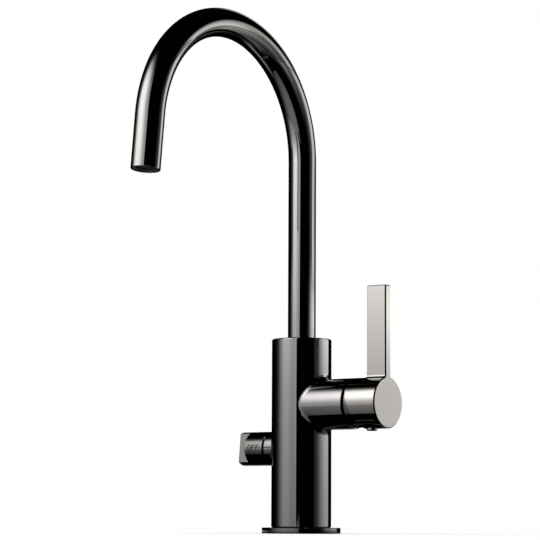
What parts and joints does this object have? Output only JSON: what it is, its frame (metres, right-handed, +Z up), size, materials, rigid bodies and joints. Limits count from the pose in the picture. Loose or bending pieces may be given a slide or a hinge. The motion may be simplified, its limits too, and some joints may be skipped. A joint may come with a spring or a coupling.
{
  "type": "kitchen mixer tap",
  "caption": "Tall kitchen mixer tap with a high arched swivelling spout, a side lever over a ceramic cartridge, and a dishwasher valve with a flat-sided knob.",
  "frame": {"origin": "on the upright axis of the body, at the underside of the foot flange, where it meets the worktop", "axes": "+Z up along the body's axis; the spout points along -Y, the lever is on +X and the dishwasher valve on -X"},
  "size_m": [0.1381, 0.2345, 0.3989],
  "materials": {
    "black_chrome": "polished",
    "brass": "satin",
    "steel": "satin",
    "aerator_screen": "satin",
    "aerator_plastic": "matte",
    "cartridge_plastic": "satin",
    "glide_plastic": "satin",
    "rubber": "matte",
    "ceramic": "gloss"
  },
  "bodies": {
    "root": {"mixer_body": "black_chrome", "base_flange": "black_chrome", "base_gasket": "rubber", "flange_o_ring": "rubber", "upper_glide_ring": "glide_plastic", "lower_glide_ring": "glide_plastic", "spout_stop_screw": "steel", "cartridge_base": "cartridge_plastic", "port_seals": "rubber", "disc_seal": "rubber", "fixed_disc": "ceramic", "cartridge_housing": "cartridge_plastic", "cartridge_nut": "brass", "lever_cover_ring": "black_chrome", "valve_headwork": "brass", "valve_headwork_o_ring": "rubber", "valve_seat_seal": "rubber", "valve_fixed_disc": "ceramic"},
    "spout": {"spout_tube": "black_chrome", "spout_foot": "brass", "spout_o_rings": "rubber", "aerator_seal": "rubber", "aerator_housing": "aerator_plastic", "aerator_insert": "aerator_plastic", "aerator_screen": "aerator_screen"},
    "cartridge_rotor": {"cartridge_rotor": "cartridge_plastic", "pivot_pin": "steel"},
    "moving_disc": {"moving_disc": "ceramic", "disc_carrier": "cartridge_plastic"},
    "lever": {"lever_handle": "black_chrome", "lever_stem": "steel", "lever_grub_screw": "steel", "lever_screw_cap": "black_chrome"},
    "valve_knob": {"valve_knob": "black_chrome", "valve_spindle": "brass", "valve_spindle_o_ring": "rubber", "valve_rotary_disc": "ceramic", "valve_circlip": "steel", "knob_grub_screw": "steel"}
  },
  "joints": [
    {"name": "spout_swivel", "type": "hinge", "parent": "root", "child": "spout", "pos_m": [0, 0, 0.138], "axis": [0, 0, 1], "range_deg": [-60, 60]},
    {"name": "lever_turn", "type": "hinge", "parent": "root", "child": "cartridge_rotor", "pos_m": [0.052, 0, 0.1], "axis": [1, 0, 0], "range_deg": [-45, 45]},
    {"name": "lever_tilt", "type": "hinge", "parent": "cartridge_rotor", "child": "lever", "pos_m": [0.052, 0, 0.1], "axis": [0, 1, 0], "range_deg": [0, 25]},
    {"name": "disc_slide", "type": "slide", "parent": "cartridge_rotor", "child": "moving_disc", "axis": [0, 0, 1], "range_m": [0, 0.00423]},
    {"name": "valve_turn", "type": "hinge", "parent": "root", "child": "valve_knob", "pos_m": [-0.04, 0, 0.0665], "axis": [-1, 0, 0], "range_deg": [0, 90]}
  ],
  "couplings": [
    {"joint": "disc_slide", "follows": "lever_tilt", "m_per_rad": 0.009686}
  ]
}
